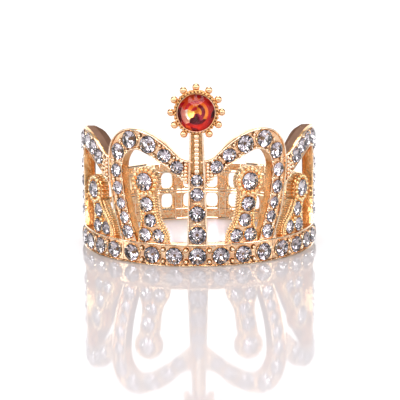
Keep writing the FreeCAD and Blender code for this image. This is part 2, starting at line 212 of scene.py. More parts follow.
def smooth_curve(rows, samples):
    """Natural cubic spline through a strip's crossings, at evenly spaced places along it."""
    rows = np.asarray(rows, float)
    steps = np.linalg.norm(np.diff(rows * np.tile(UNROLL, 2), axis=0), axis=1)
    knots = np.concatenate([[0.0], np.cumsum(steps)])
    count = len(knots)
    system = np.eye(count)
    right = np.zeros((count, rows.shape[1]))
    for k in range(1, count - 1):
        before, after = steps[k - 1], steps[k]
        system[k, k - 1:k + 2] = before, 2 * (before + after), after
        right[k] = 6 * ((rows[k + 1] - rows[k]) / after - (rows[k] - rows[k - 1]) / before)
    bend = np.linalg.solve(system, right)
    places = np.linspace(0.0, knots[-1], samples)
    k = np.clip(np.searchsorted(knots, places, side="right") - 1, 0, count - 2)
    span = steps[k][:, None]
    a = (knots[k + 1] - places)[:, None] / span
    b = 1.0 - a
    return a * rows[k] + b * rows[k + 1] + ((a**3 - a) * bend[k] + (b**3 - b) * bend[k + 1]) * span**2 / 6


def ball_template(detail):
    """Points and faces of a ball of radius 1."""
    mesh = bmesh.new()
    bmesh.ops.create_icosphere(mesh, subdivisions=detail, radius=1.0)
    points = np.array([v.co[:] for v in mesh.verts])
    faces = np.array([[v.index for v in f.verts] for f in mesh.faces])
    mesh.free()
    return points, faces


GRANULE = ball_template(2)
BALL = ball_template(3)


def add_ball(shell, centre, radius, template=GRANULE, flatten=1.0, place=None, kind=RAISED):
    """Ball at a point, which is given across, up and out where there is a place."""
    points, faces = template
    if place is None:
        shell.add(points * radius + np.asarray(centre), faces, kind)
    else:
        shaped = points * radius * np.array([1.0, 1.0, flatten]) + np.asarray(centre)
        shell.add(to_world(shaped, place), faces, kind)


def add_lathe(shell, profile, place, sides, kind=PLAIN):
    """Surface turned about the place's own outward axis; the profile is rows of (radius, height).

    The kind is one number, or one for each step of the profile.
    """
    turns = np.arange(sides) * 2 * math.pi / sides
    ring = np.stack([np.cos(turns), np.sin(turns)], -1)
    radii = np.array([r for r, h in profile])
    rise = np.array([h for r, h in profile])
    points = np.zeros((len(profile), sides, 3))
    points[:, :, :2] = radii[:, None, None] * ring[None]
    points[:, :, 2] = rise[:, None]
    kinds = np.repeat(np.broadcast_to(kind, len(profile) - 1), sides)
    shell.add(to_world(points.reshape(-1, 3), place), grid_faces(len(profile), sides, True), kinds)


def shut(shell, profile, place, sides, kind=PLAIN):
    """Turned solid: the profile's first and last rings are closed by flat faces."""
    first = shell.count
    add_lathe(shell, profile, place, sides, kind)
    ends = np.broadcast_to(kind, len(profile) - 1)
    shell.add_polygon([first + k for k in range(sides)][::-1], int(ends[0]))
    last = first + (len(profile) - 1) * sides
    shell.add_polygon([last + k for k in range(sides)], int(ends[-1]))


# Castings --------

# A strip's face lies under the wall, between two half-round rims. The steps are the distances from
# an edge at which the face has points.
FACE = -0.36
RIM_WIDTH = 0.46
RIM_CREST = 0.2
EDGE_STEPS = np.array([0.0, 0.02, 0.07, 0.14, 0.22, 0.3, 0.37, 0.42, RIM_WIDTH, 0.54])
STRIP_SPACING = 0.17
FACE_COLUMNS = 26
GRAIN_FADE = 0.1

# Pockets under stones and under beads: how far they reach past them, and how deep they are.
STONE_POCKET = (0.06, 0.75)
BEAD_POCKET = (0.12, 0.2)
POCKET_SLOPE = 0.16
DEEP_ENOUGH = 0.1

# Down the flanks and across the back: places as shares of the way.
FLANK_SHARES = np.array([0.3, 0.62, 0.94])
BACK_SHARES = np.array([0.98, 0.9, 0.7, 0.5, 0.3, 0.1, 0.02])
BACK_EDGE = 0.12

# Where one strip starts under another, it is lowered for this far, then rises over this length.
TUCK_REACH = 1.2


def rim_section(edge, rim):
    """Height of a strip's front at a distance from its edge: a half-round rim, then the sunk face."""
    across = np.clip((edge - RIM_CREST) / (RIM_WIDTH - RIM_CREST), -1.0, 1.0)
    return FACE + (rim - FACE) * np.sqrt(1.0 - across**2)


def pocket(angles, heights, stones, size=STONE_POCKET):
    """How far the face is sunk under the stones, or under beads."""
    around, depth = size
    sunk = np.zeros_like(angles)
    for angle, height, diameter in stones:
        across = np.radians(angles - angle) * WALL
        reach = np.hypot(across, heights - height) - (diameter / 2 + around)
        sunk = np.maximum(sunk, depth * np.clip(0.5 - reach / POCKET_SLOPE, 0.0, 1.0))
    return sunk


def front_kinds(sunk):
    """Kinds of a front's faces: raised along both rims, sunk in the pockets and at the rims' feet."""
    low = (sunk > DEEP_ENOUGH).astype(int)
    corners = low[:-1, :-1] + low[1:, :-1] + low[:-1, 1:] + low[1:, 1:]
    kinds = np.where(corners >= 2, SUNK, PLAIN)
    rim = len(EDGE_STEPS) - 2
    kinds[:, :rim] = RAISED
    kinds[:, -rim:] = RAISED
    # The rims' feet get the sunk kind so that they carry the painted crevice shade.
    kinds[:, rim] = SUNK
    kinds[:, -rim - 1] = SUNK
    return kinds


def strip_face(edges):
    """Angles and heights of the points of a strip's face, and how far each is from the nearer edge."""
    outer, inner = edges[:, None, :2], edges[:, None, 2:]
    width = np.linalg.norm((inner - outer) * UNROLL, axis=-1)
    middle = np.linspace(0.0, 1.0, FACE_COLUMNS)[1:-1]
    rest = EDGE_STEPS[-1] + middle * (width - 2 * EDGE_STEPS[-1])
    near = np.broadcast_to(EDGE_STEPS, (len(edges), len(EDGE_STEPS)))
    steps = np.concatenate([near, rest, width - near[:, ::-1]], axis=1)
    places = outer + (steps / width)[..., None] * (inner - outer)
    return places[..., 0], places[..., 1], np.minimum(steps, width - steps)


def flank(edge_lift, back):
    """Distances from the axis down one flank of a strip, from its face to its back."""
    return WALL + edge_lift + (back + BACK_EDGE - WALL - edge_lift) * FLANK_SHARES


def add_strip(
    shell, crossings, side, stones, rim=0.1, back=BACK, tuck=0.0, grain=0.012, hollow=None, beads=(),
):
    """Closed strip bent round the wall, with raised rims on both edges.

    Its face is sunk under the stones and the beads, and a little more up to the hollow's angle.
    """
    rows = np.asarray(crossings, float)
    middle_line = (rows[:, :2] + rows[:, 2:]) / 2 * UNROLL
    length = np.linalg.norm(np.diff(middle_line, axis=0), axis=1).sum()
    samples = int(length / STRIP_SPACING) + 2
    edges = smooth_curve(rows, samples)
    angles, heights, edge_distance = strip_face(edges)
    inside = np.clip((edge_distance - RIM_WIDTH) / GRAIN_FADE, 0.0, 1.0)
    sunk = pocket(angles, heights, stones)
    sunk += pocket(angles, heights, [(angle, height, 2 * r) for angle, height, r in beads], BEAD_POCKET)
    lift = rim_section(edge_distance, rim) - sunk
    if hollow:
        limit, depth = hollow
        lift -= depth * inside * np.clip(limit - angles, 0.0, 1.0)
    lift += grain * inside * rng.standard_normal(lift.shape)
    if tuck:
        start = np.linspace(0.0, length, samples)[:, None]
        lift -= tuck * np.clip(1.0 - (start - TUCK_REACH) / TUCK_REACH, 0.0, 1.0)

    front = on_wall(side * angles, heights, WALL + lift)
    inner_wall = on_wall(side * angles[:, -1:], heights[:, -1:], flank(lift[:, -1:], back))
    outer_wall = on_wall(side * angles[:, :1], heights[:, :1], flank(lift[:, :1], back)[:, ::-1])
    rear = edges[:, None, :2] + BACK_SHARES[None, :, None] * (edges[:, None, 2:] - edges[:, None, :2])
    rear = on_wall(side * rear[..., 0], rear[..., 1], back)
    loop = np.concatenate([front, inner_wall, rear, outer_wall], axis=1)

    first = shell.count
    columns = loop.shape[1]
    faces = grid_faces(samples, columns, True)
    kinds = np.full((samples - 1, columns), FLANK)
    rear_start = front.shape[1] + len(FLANK_SHARES)
    kinds[:, rear_start:-1] = REAR
    kinds[:, :front.shape[1] - 1] = front_kinds(sunk)
    if side < 0:
        faces = faces[:, ::-1]
    shell.add(loop, faces, kinds.ravel())
    last = first + (samples - 1) * columns
    order = -1 if side > 0 else 1
    shell.add_polygon([first + k for k in range(columns)][::order])
    shell.add_polygon([last + k for k in range(columns)][::-order])


COLLAR_SIDES = 40
# The collar's sunk rings carry the painted crevice shade.
COLLAR_KINDS = [SUNK, RAISED, RAISED, RAISED, SUNK, PLAIN, PLAIN, PLAIN]


def add_collar(shell, angle, height, diameter, side=1, base=WALL):
    """Thin turned setting round one stone: a raised lip outside, then a cone down under the stone."""
    r = diameter / 2
    lip = 0.02
    place = outward(side * angle, height, base)
    profile = [
        (r + 0.32, FACE - 0.12), (r + 0.19, FACE + 0.03), (r + 0.16, lip - 0.14), (r + 0.11, lip - 0.08),
        (r + 0.07, lip - 0.12), (r + 0.05, lip - 0.3), (r + 0.02, -0.12 * diameter),
        (0.6 * r, -0.36 * diameter), (0.1 * r, -0.42 * diameter),
    ]
    add_lathe(shell, profile, place, COLLAR_SIDES, COLLAR_KINDS)


def between(first, second):
    """Middle of the gap between two stones and the way from one to the other, on the unrolled wall."""
    start = np.array(first[:2]) * UNROLL
    step = np.array(second[:2]) * UNROLL - start
    far = np.linalg.norm(step)
    along = step / far
    return start + along * (far + first[2] / 2 - second[2] / 2) / 2, along


def prong_places(row, spread=0.4, radius=0.36):
    """Pairs of bead prongs in the gaps between neighbouring stones of a row."""
    places = []
    for first, second in zip(row, row[1:]):
        middle, along = between(first, second)
        cross = np.array([-along[1], along[0]])
        reach = spread * (first[2] + second[2]) / 2
        for sign in (-1, 1):
            spot = middle + sign * cross * reach
            places.append((math.degrees(spot[0] / WALL), spot[1], radius))
    return places


ROD_SIDES = 10
ROD_ENDS = ((0.3, 0.0), (0.8, 0.06), (1.0, 0.2), (1.0, 0.8), (0.8, 0.94), (0.3, 1.0))


def add_rod(shell, start, axis_place, radius, length):
    """Round-ended ridge that runs back through the wall from a point across, up and out of a place."""
    origin, axes = axis_place
    rings = [(radius * wide, -length * far) for wide, far in reversed(ROD_ENDS)]
    shut(shell, rings, (np.asarray(start) @ axes + origin, axes), ROD_SIDES, RAISED)


def add_granules(shell, places, side, base=WALL, rise=-0.1):
    """Small beads: rows of (angle, height, radius)."""
    stretch = 1.1
    for angle, height, radius in places:
        place = outward(side * angle, height, base + rise)
        add_ball(shell, (0, 0, 0), radius, GRANULE, stretch, place)


def add_collars(shell, stones, side=1, base=WALL):
    for angle, height, diameter in stones:
        add_collar(shell, angle, height, diameter, side, base)


# Stones --------

PETALS = 9
STONE_GROWTH = 0.02
STONE_LEAN = 0.05


def cut_stone():
    """Round brilliant of radius 1: its points, the glass faces above and the foiled faces below."""
    n = PETALS
    table, table_height, girdle, belt, culet = 0.62, 0.38, 0.12, 0.06, -0.74
    break_radius, lower_radius = 0.82, 0.30
    half = math.pi / n

    def ring(count, radius, height, start=0.0):
        turns = start + np.arange(count) * 2 * math.pi / count
        return [(radius * math.cos(t), radius * math.sin(t), height) for t in turns]

    drop = (break_radius * math.cos(half) - table) / (1.0 - table) * (table_height - girdle)
    fall = (1.0 - lower_radius * math.cos(half)) * (belt - culet)
    points = ring(n, table, table_height)
    points += ring(n, break_radius, table_height - drop, half)
    points += ring(2 * n, 1.0, girdle)
    points += ring(2 * n, 1.0, belt)
    points += ring(n, lower_radius, belt - fall, half)
    points += [(0.0, 0.0, culet)]
    edge, lower, centre = 2 * n, 6 * n, 7 * n
    crown = [list(range(n))]
    pavilion = []
    for k in range(n):
        after, before = (k + 1) % n, (k - 1) % n
        g = [edge + (2 * k + step) % (2 * n) for step in range(3)]
        h = [corner + 2 * n for corner in g]
        crown += [[k, n + k, after], [k, n + before, g[0], n + k]]
        crown += [[n + k, g[0], g[1]], [n + k, g[1], g[2]]]
        crown += [[g[0], h[0], h[1], g[1]], [g[1], h[1], h[2], g[2]]]
        pavilion += [[centre, lower + k, h[0], lower + before]]
        pavilion += [[lower + k, h[1], h[0]], [lower + k, h[2], h[1]]]
    return np.array(points), crown, pavilion


CUT_POINTS, CUT_CROWN, CUT_PAVILION = cut_stone()


def add_stone(shell, angle, height, diameter, side=1, base=WALL):
    """One stone, turned and leaned a little by chance; its grey and dark foils, mixed by chance, are
    painted reflections in some facets.
    """
    place = outward(side * angle, height, base)
    turn = rng.uniform(0.0, math.pi)
    lean = rng.uniform(-STONE_LEAN, STONE_LEAN, 2)
    c, s = math.cos(turn), math.sin(turn)
    points = CUT_POINTS * (diameter / 2 + STONE_GROWTH)
    points = points @ np.array([[c, s, 0], [-s, c, 0], [0, 0, 1]])
    points[:, 2] += points[:, 0] * lean[0] + points[:, 1] * lean[1]
    first = shell.count
    shell.add(to_world(points, place), np.zeros((0, 3), int))
    for face in CUT_CROWN:
        shell.add_polygon([first + corner for corner in face], GLASS)
    for k, face in enumerate(CUT_PAVILION):
        # Grey and dark foils are painted reflections.
        foils = (rng.choice((SILVER, GREY_REFLECTION, GREY_REFLECTION)), SILVER, rng.choice((SILVER, DARK_REFLECTION, DARK_REFLECTION)))
        shell.add_polygon([first + corner for corner in face], foils[k % 3])


def stone_piece(node, stones, side=1, base=WALL):
    shell = Shell()
    for angle, height, diameter in stones:
        add_stone(shell, angle, height, diameter, side, base)
    return shell.piece(f"{node}_cut", [node], CUT_STONE, 0)


# Materials --------

def material(name):
    """A new material, its node tree and its shader."""
    made = bpy.data.materials.new(name)
    made.use_nodes = True
    tree = made.node_tree
    return made, tree, tree.nodes["Principled BSDF"]


def noise(tree, scale, detail=3.0, roughness=0.5):
    """Output of a cloudy texture that is fixed to the piece."""
    where = tree.nodes.new("ShaderNodeTexCoord")
    node = tree.nodes.new("ShaderNodeTexNoise")
    node.inputs["Scale"].default_value = scale
    node.inputs["Detail"].default_value = detail
    node.inputs["Roughness"].default_value = roughness
    tree.links.new(where.outputs["Object"], node.inputs["Vector"])
    return node.outputs["Fac"]


def ramp(tree, source, stops):
    """Output of a colour ramp; the stops are (place, colour)."""
    node = tree.nodes.new("ShaderNodeValToRGB")
    while len(node.color_ramp.elements) < len(stops):
        node.color_ramp.elements.new(0.5)
    for element, (place, colour) in zip(node.color_ramp.elements, stops):
        element.position = place
        element.color = (*colour, 1.0)
    tree.links.new(source, node.inputs["Fac"])
    return node.outputs["Color"]


def mottle(tree, shader, cloud, dark, light, edge=0.3):
    """Base colour that wanders from one shade to the other with a cloudy texture."""
    colour = ramp(tree, cloud, [(edge, dark), (1.0 - edge, light)])
    tree.links.new(colour, shader.inputs["Base Color"])


def spread(tree, source, low, high):
    """The source, stretched from 0..1 to low..high."""
    node = tree.nodes.new("ShaderNodeMapRange")
    node.inputs["To Min"].default_value = low
    node.inputs["To Max"].default_value = high
    tree.links.new(source, node.inputs["Value"])
    return node.outputs["Result"]


def gold_plate(name, dark, light, low_gloss, high_gloss, ripple):
    """Pale warm plating over a casting: slightly uneven colour, cloudy gloss, fine pits and ripples."""
    made, tree, shader = material(name)
    shader.inputs["Metallic"].default_value = 1.0
    mottle(tree, shader, noise(tree, 420.0, 3.0, 0.55), dark, light, 0.35)
    tree.links.new(spread(tree, noise(tree, 900.0, 2.0), low_gloss, high_gloss), shader.inputs["Roughness"])
    bump = tree.nodes.new("ShaderNodeBump")
    bump.inputs["Strength"].default_value = 0.9
    bump.inputs["Distance"].default_value = ripple
    tree.links.new(noise(tree, 1100.0, 2.0, 0.5), bump.inputs["Height"])
    tree.links.new(bump.outputs["Normal"], shader.inputs["Normal"])
    return made


def dull_painted_shade_inside():
    """Unpolished inner face of the side arches and rear arms; its dark brown is painted shade."""
    made, tree, shader = material("dull_painted_shade_inside")
    dark, light = (0.19, 0.11, 0.075), (0.27, 0.155, 0.11)
    mottle(tree, shader, noise(tree, 300.0, 3.0, 0.6), dark, light)
    tree.links.new(spread(tree, noise(tree, 700.0, 2.0), 0.4, 0.6), shader.inputs["Roughness"])
    shader.inputs["Specular IOR Level"].default_value = 0.0
    return made


def clear_glass():
    """Colourless glass, a little scuffed."""
    made, tree, shader = material("clear_glass")
    shader.inputs["Base Color"].default_value = (1.0, 1.0, 1.0, 1.0)
    shader.inputs["Transmission Weight"].default_value = 1.0
    shader.inputs["IOR"].default_value = 1.56
    tree.links.new(spread(tree, noise(tree, 700.0, 2.0), 0.0, 0.03), shader.inputs["Roughness"])
    return made


def foil(name, dark, light, roughness=0.05):
    """Mirror backing of a stone's lower facets."""
    made, tree, shader = material(name)
    shader.inputs["Metallic"].default_value = 1.0
    mottle(tree, shader, noise(tree, 500.0, 2.0), dark, light)
    shader.inputs["Roughness"].default_value = roughness
    return made


def orange_glass():
    """Faintly warm glass: the crystal's colour comes from its foil."""
    made, tree, shader = material("orange_glass")
    dark, light = (1.0, 0.92, 0.86), (1.0, 0.96, 0.92)
    mottle(tree, shader, noise(tree, 400.0, 2.0), dark, light)
    shader.inputs["Transmission Weight"].default_value = 1.0
    shader.inputs["IOR"].default_value = 1.36
    shader.inputs["Roughness"].default_value = 0.01
    return made


def floor_gloss():
    """Glossy pale floor."""
    made, tree, shader = material("white_floor")
    dark, light = (0.67, 0.635, 0.65), (0.69, 0.655, 0.67)
    mottle(tree, shader, noise(tree, 3.0, 2.0), dark, light)
    shader.inputs["Roughness"].default_value = 0.05
    shader.inputs["IOR"].default_value = 1.55
    return made


GOLD = gold_plate("gold_plating", (0.90, 0.50, 0.27), (1.0, 0.71, 0.46), 0.05, 0.18, 0.00014)
# Gold of the raised parts: real polish, with its paler colour a painted highlight.
POLISHED_HIGHLIGHT = gold_plate("polished_painted_highlight", (0.98, 0.70, 0.46), (1.0, 0.84, 0.66), 0.03, 0.10, 0.00003)
# Darker amber gold: painted shade on flanks, in the post's channel, on the cup's beads and over the side
# towers.
SHADE_GOLD = gold_plate("painted_shade_gold", (0.72, 0.38, 0.15), (0.90, 0.54, 0.26), 0.14, 0.32, 0.00012)
# Nearly black gold: painted shade in the pockets, at the rims' feet and round the collars and the cup.
CREVICE_SHADE = gold_plate("painted_crevice_shade", (0.12, 0.06, 0.03), (0.30, 0.17, 0.09), 0.25, 0.45, 0.00010)
BALL_GOLD = gold_plate("ball_gold", (0.84, 0.50, 0.26), (0.96, 0.66, 0.40), 0.02, 0.06, 0.00001)
AMBER_GOLD = gold_plate("amber_gold", (0.96, 0.64, 0.31), (1.0, 0.79, 0.50), 0.04, 0.14, 0.00006)
MOTTLED_GOLD = gold_plate("mottled_gold", (0.88, 0.54, 0.27), (1.0, 0.80, 0.54), 0.06, 0.20, 0.00026)
SHADED_INSIDE = dull_painted_shade_inside()

# Finishes of the castings, in the order PLAIN, REAR, RAISED, SUNK, FLANK. Sunk faces carry painted crevice
# shade, raised ones a painted highlight over real polish, and the shade gold and the dull inside paint
# shade on flanks and backs.
CASTING = [GOLD, GOLD, POLISHED_HIGHLIGHT, CREVICE_SHADE, GOLD]
LATTICE_CASTING = [MOTTLED_GOLD, GOLD, POLISHED_HIGHLIGHT, CREVICE_SHADE, GOLD]
SHADED_FLANKS = [GOLD, GOLD, POLISHED_HIGHLIGHT, CREVICE_SHADE, SHADE_GOLD]
# The inner faces of the side loops and rear arms are painted shade.
DULL_SHADED_BACK = [GOLD, SHADED_INSIDE, POLISHED_HIGHLIGHT, CREVICE_SHADE, SHADE_GOLD]
FRONT_TOWER_CASTING = [GOLD, GOLD, AMBER_GOLD, CREVICE_SHADE, SHADE_GOLD]
# The side towers, standing in the crown's shade, are painted darker all over.
SIDE_TOWER_CASTING = [SHADE_GOLD, SHADE_GOLD, AMBER_GOLD, CREVICE_SHADE, SHADE_GOLD]
BALL_CASTING = [GOLD, GOLD, POLISHED_HIGHLIGHT, CREVICE_SHADE, BALL_GOLD]

CLEAR_GLASS = clear_glass()
# The grey and dark foils are painted reflections of the dark surroundings.
SILVER_FOIL = foil("silver_foil", (0.90, 0.86, 0.90), (0.98, 0.95, 0.98))
GREY_REFLECTION_FOIL = foil("painted_grey_reflection", (0.66, 0.61, 0.65), (0.82, 0.77, 0.81))
DARK_REFLECTION_FOIL = foil("painted_dark_reflection", (0.12, 0.10, 0.11), (0.24, 0.20, 0.22))
ORANGE_GLASS = orange_glass()
CUT_STONE = [CLEAR_GLASS, SILVER_FOIL, GREY_REFLECTION_FOIL, DARK_REFLECTION_FOIL]
# The cream and amber foils are a painted highlight, the wine foil painted shade; red and orange are the
# crystal's own colour.
CUT_CRYSTAL = [
    ORANGE_GLASS,
    foil("red_foil", (0.62, 0.03, 0.05), (0.85, 0.07, 0.06), 0.3),
    foil("orange_foil", (0.95, 0.22, 0.03), (1.0, 0.36, 0.06), 0.3),
    foil("painted_highlight_amber", (1.0, 0.58, 0.10), (1.0, 0.72, 0.22), 0.25),
    foil("painted_highlight_cream", (1.0, 0.86, 0.74), (1.0, 0.96, 0.88), 0.32),
    foil("painted_shade_wine", (0.12, 0.01, 0.02), (0.26, 0.02, 0.04), 0.3),
]


# Base band --------

SEAM_GAP = 0.08
BAND_STOPS = 12
BAND_RIM = 0.27


def base_band(name, side, start, end, first, last):
    """Part of the band from one angle to another, with the stones that are numbered from the front."""
    stones = [(k * BASE_PITCH, BASE_STONE_HEIGHT, BASE_STONE) for k in range(first, last + 1)]
    shell = Shell()
    stops = np.linspace(start + SEAM_GAP, end - SEAM_GAP, BAND_STOPS)
    prongs = prong_places(stones, 0.36, 0.46)
    crossings = [(angle, BAND_HEIGHT, angle, 0.0) for angle in stops]
    add_strip(shell, crossings, side, stones, rim=BAND_RIM, beads=prongs)
    add_collars(shell, stones, side)
    add_granules(shell, prongs, side)
    shell.piece(f"{name}_casting", [name], CASTING)
    stone_piece(name.replace("_band", "_stones"), stones, side)


def base_bands():
    base_band("front_base_band", 1, -BAND_SEAM, BAND_SEAM, -3, 3)
    for name, side in SIDES.items():
        base_band(f"{name}_base_band", side, BAND_SEAM, BAND_END, 4, 8)


# Loops, arms and towers --------

FOOT = 0.15


def footed(crossings):
    """The same crossings with the last one sunk a little into whatever the strip stands on."""
    outer_angle, outer_height, inner_angle, inner_height = crossings[-1]
    return crossings[:-1] + [(outer_angle, outer_height - FOOT, inner_angle, inner_height - FOOT)]


def loop_piece(
    node, crossings, stones, side, finish, back, tuck=0.0, hollow=None, granules=(), cleared=(),
):
    """One arch or arm; its face is also sunk under the cleared stones, which belong to its neighbour."""
    shell = Shell()
    prongs = prong_places(stones)
    sunk_under = [*stones, *cleared]
    add_strip(
        shell, footed(crossings), side, sunk_under, back=back, tuck=tuck, hollow=hollow, beads=prongs,
    )
    add_collars(shell, stones, side)
    add_granules(shell, prongs, side, rise=-0.12)
    add_granules(shell, granules, side)
    shell.piece(f"{node}_casting", [node], finish)
    stone_piece(f"{node}_stones", stones, side)


# Granulation where the loops start: (angle, height, radius).
FRONT_GRANULES = [
    (5.3, 19.35, 0.43), (5.3, 20.15, 0.43), (5.3, 20.95, 0.43), (5.3, 21.75, 0.43), (5.3, 22.55, 0.43),
    (5.3, 23.3, 0.40), (6.95, 20.05, 0.43), (6.95, 20.85, 0.43), (6.8, 21.6, 0.36), (7.2, 24.0, 0.40),
    (8.7, 20.75, 0.40), (9.0, 24.6, 0.36),
]
SIDE_GRANULES = [
    (49.7, 18.6, 0.44), (49.7, 19.5, 0.44), (49.7, 20.4, 0.44), (49.7, 21.3, 0.44), (49.7, 22.2, 0.44),
    (49.7, 23.0, 0.43), (51.5, 19.9, 0.44), (51.4, 20.8, 0.44), (51.3, 21.7, 0.43), (51.4, 22.6, 0.43),
    (53.3, 20.9, 0.43), (52.8, 21.8, 0.36), (53.0, 23.4, 0.40),
]

HALO_BEADS = 16
HALO_RODS = 22
STEM_SAMPLES = 20


def add_halo(shell, place, diameter):
    """Round head of a tower: a disc with beads round its stone and ribs round its edge."""
    r = HALO_RADIUS
    back = BACK - WALL
    profile = [
        (0.2, back), (r - 0.15, back), (r, back + 0.15), (r, -0.55), (r - 0.12, -0.42), (r - 0.4, -0.4),
        (r - 0.8, -0.3), (diameter / 2 + 0.2, -0.3), (diameter / 2, -0.9),
    ]
    add_lathe(shell, profile, place, 64)
    for k in range(HALO_BEADS):
        turn = 2 * math.pi * (k + 0.5) / HALO_BEADS
        centre = ((r - 0.42) * math.cos(turn), (r - 0.42) * math.sin(turn), -0.12)
        add_ball(shell, centre, 0.5, GRANULE, 1.0, place)
    for k in range(HALO_RODS):
        turn = 2 * math.pi * (k + 0.5) / HALO_RODS
        start = ((r - 0.08) * math.cos(turn), (r - 0.08) * math.sin(turn), -0.55)
        add_rod(shell, start, place, 0.3, 1.8)


def add_stem_edges(shell, crossings, side):
    """Ribs down both edges of a tower's stem; gives back the beads that sit beside them."""
    granules = []
    for outer_angle, outer_height, inner_angle, inner_height in smooth_curve(crossings, STEM_SAMPLES)[1:-2]:
        for share in (0.07, 0.93):
            angle = outer_angle + share * (inner_angle - outer_angle)
            height = outer_height + share * (inner_height - outer_height)
            granules.append((angle, height, 0.33 + 0.05 * math.sin(7.0 * height + 9.0 * share)))
            edge_angle = outer_angle if share < 0.5 else inner_angle
            edge_height = outer_height if share < 0.5 else inner_height
            add_rod(shell, (0, 0, -0.5), outward(side * edge_angle, edge_height, WALL), 0.28, 1.85)
    return granules


def tower_piece(node, crossings, stones, side, finish):
    """One free-standing finial."""
    shell = Shell()
    foot = (crossings[0][0], BAND_HEIGHT - FOOT, crossings[0][2], BAND_HEIGHT - FOOT)
    crossings = [foot] + crossings[1:]
    add_strip(shell, crossings, side, stones, rim=-0.15, back=BACK + 0.03, grain=0.03)
    angle, height, diameter = stones[0]
    add_halo(shell, outward(side * angle, height, WALL), diameter)
    add_collars(shell, stones, side)
    add_granules(shell, prong_places(stones[:3], 0.4, 0.42), side)
    granules = add_stem_edges(shell, crossings, side)
    add_granules(shell, granules, side, rise=-0.12)
    shell.piece(f"{node}_casting", [node], finish)
    stone_piece(f"{node}_stones", stones, side)


def side_pieces(name, side):
    """All upright pieces of one side. Strips that overlap have their backs a little apart."""
    loop_piece(
        f"{name}_front_loop", FRONT_LOOP, FRONT_LOOP_STONES, side, SHADED_FLANKS, BACK,
        hollow=(9.0, 0.3), granules=FRONT_GRANULES,
    )
    loop_piece(
        f"{name}_side_loop", SIDE_LOOP, SIDE_LOOP_STONES, side, DULL_SHADED_BACK, BACK + 0.04,
        tuck=0.3, hollow=(54.5, 0.3), granules=SIDE_GRANULES,
    )
    loop_piece(
        f"{name}_rear_arm", REAR_ARM, REAR_ARM_STONES, side, DULL_SHADED_BACK, BACK + 0.08,
        tuck=0.3, cleared=SIDE_LOOP_STONES[3:5],
    )
    tower_piece(f"{name}_front_tower", FRONT_TOWER, FRONT_TOWER_STONES, side, FRONT_TOWER_CASTING)
    tower_piece(f"{name}_side_tower", SIDE_TOWER, SIDE_TOWER_STONES, side, SIDE_TOWER_CASTING)


# Post and crest --------

POST_RELIEF = 0.3
POST_FACE = WALL + POST_RELIEF
POST_TOP = 30.5
POST_TAPER = ([BAND_HEIGHT, 32.5], [2.35, 1.45])
POST_LEVELS = 150
CHANNEL_START = 21.2
CHANNEL_DEPTH = 0.6
CHANNEL_BEAD = 0.7


def post_front(levels, half):
    """Points of the post's front, kinds of its faces: rails at the edges, pockets, and a channel above."""
    inner = np.linspace(-1.0, 1.0, 15)[1:-1]
    across = np.concatenate([
        -half[:, None] + EDGE_STEPS,
        (half[:, None] - EDGE_STEPS[-1]) * inner,
        half[:, None] - EDGE_STEPS[::-1],
    ], axis=1)
    heights = np.broadcast_to(levels[:, None], across.shape)
    edge_distance = half[:, None] - np.abs(across)
    sunk = pocket(np.degrees(across / WALL), heights, POST_STONES)
    channel = np.clip((edge_distance - RIM_WIDTH) / 0.06, 0.0, 1.0)
    channel = channel * np.clip((heights - CHANNEL_START) / 0.2, 0.0, 1.0)
    lift = rim_section(edge_distance, 0.0) - sunk
    lift -= CHANNEL_DEPTH * channel
    kinds = front_kinds(sunk)
    # The channel gets the flank kind, which the post's finish paints as shade.
    kinds[channel[1:, 1:] > 0.5] = FLANK
    return np.stack([across, -(POST_FACE + lift), heights], -1), kinds


def post_beads():
    """Beads on the post: (x, height, radius). Some lie between the stones, a column in the channel."""
    beads = [(-0.55, 9.75, 0.3), (0.55, 9.75, 0.3), (0.0, 10.0, 0.3)]
    beads += [(0.5 * share, level, 0.3) for level in (14.45, 18.2) for share in (-1, 0.05, 1)]
    beads += [(0.0, level, CHANNEL_BEAD) for level in np.arange(21.75, POST_TOP - 0.3, 0.98)]
    return beads


def centre_post():
    """Tapered upright with rails along both edges, stones below and a column of beads above."""
    shell = Shell()
    levels = np.linspace(BAND_HEIGHT - FOOT, POST_TOP, POST_LEVELS)
    half = np.interp(levels, *POST_TAPER)
    front, front_face_kinds = post_front(levels, half)
    back_x = half[:, None] * np.array([1.0, 0.5, 0.0, -0.5, -1.0])
    heights = np.broadcast_to(levels[:, None], back_x.shape)
    back = np.stack([back_x, np.full_like(back_x, -BACK), heights], -1)
    loop = np.concatenate([front, back], axis=1)
    wide = loop.shape[1]
    first = shell.count
    kinds = np.full((len(levels) - 1, wide), PLAIN)
    kinds[:, :front.shape[1] - 1] = front_face_kinds
    shell.add(loop, grid_faces(len(levels), wide, True), kinds.ravel())
    shell.add_polygon([first + k for k in range(wide)][::-1])
    last = first + (len(levels) - 1) * wide
    shell.add_polygon([last + k for k in range(wide)])
    add_collars(shell, POST_STONES, 1, POST_FACE)
    for x, level, radius in post_beads():
        add_ball(shell, (x, -(POST_FACE - 0.12 - 0.5 * radius), level), radius, GRANULE)
    shell.piece("centre_post_casting", ["centre_post"], SHADED_FLANKS)
    stone_piece("centre_post_stones", POST_STONES, 1, POST_FACE)


CREST_PLACE = outward(0.0, CREST_HEIGHT, BACK)
CUP_SIDES = 96
CUP_BEADS = 36
# The cup's sunk rings carry the painted crevice shade.
CUP_KINDS = [PLAIN] * 4 + [SUNK] * 3 + [RAISED] * 3 + [SUNK] * 4
BALL_STEP = 30.0


